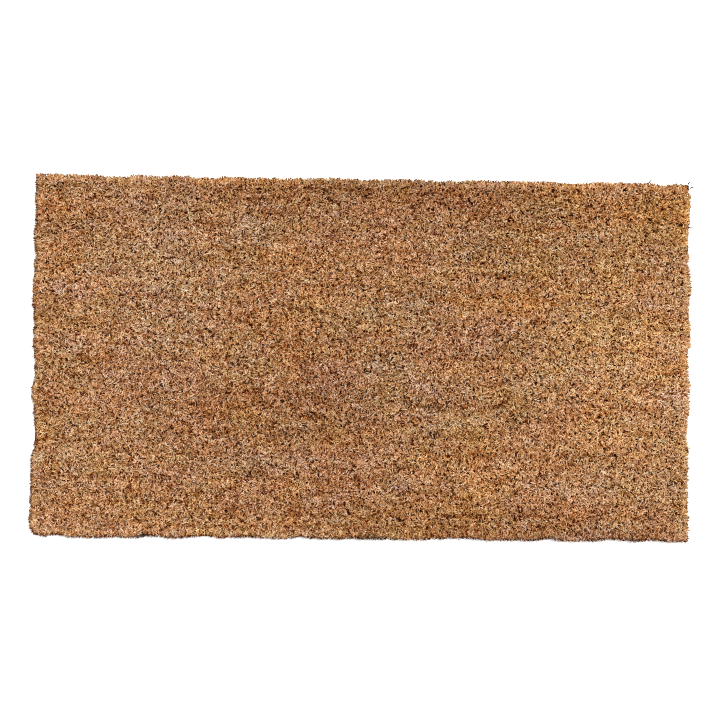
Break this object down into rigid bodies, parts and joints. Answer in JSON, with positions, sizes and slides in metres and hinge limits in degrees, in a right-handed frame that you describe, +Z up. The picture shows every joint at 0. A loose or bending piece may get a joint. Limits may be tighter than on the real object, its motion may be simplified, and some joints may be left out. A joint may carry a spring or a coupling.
{
  "type": "door mat",
  "caption": "Rectangular coir door mat: dense sheared coconut-fibre pile planted in rows in a flexible vinyl backing, with plain cut edges.",
  "frame": {"origin": "on the floor, under the middle of the mat", "axes": "+X along the mat's length and its rows of pile, +Y from the front long edge to the back one, +Z up out of the pile"},
  "size_m": [0.6, 0.33, 0.015],
  "materials": {
    "coir": "natural golden-brown coconut fibre, sheared level, dry and matt, mottled from straw to dark brown",
    "vinyl": "soft black vinyl, matt, lightly embossed underneath"
  },
  "bodies": {
    "root": {"vinyl_backing": "vinyl", "pile_row_01": "coir", "pile_row_02": "coir", "pile_row_03": "coir", "pile_row_04": "coir", "pile_row_05": "coir", "pile_row_06": "coir", "pile_row_07": "coir", "pile_row_08": "coir", "pile_row_09": "coir", "pile_row_10": "coir", "pile_row_11": "coir", "pile_row_12": "coir", "pile_row_13": "coir", "pile_row_14": "coir", "pile_row_15": "coir", "pile_row_16": "coir", "pile_row_17": "coir", "pile_row_18": "coir", "pile_row_19": "coir", "pile_row_20": "coir", "pile_row_21": "coir", "pile_row_22": "coir", "pile_row_23": "coir", "pile_row_24": "coir", "pile_row_25": "coir", "pile_row_26": "coir", "pile_row_27": "coir", "pile_row_28": "coir", "pile_row_29": "coir", "pile_row_30": "coir"}
  },
  "joints": []
}
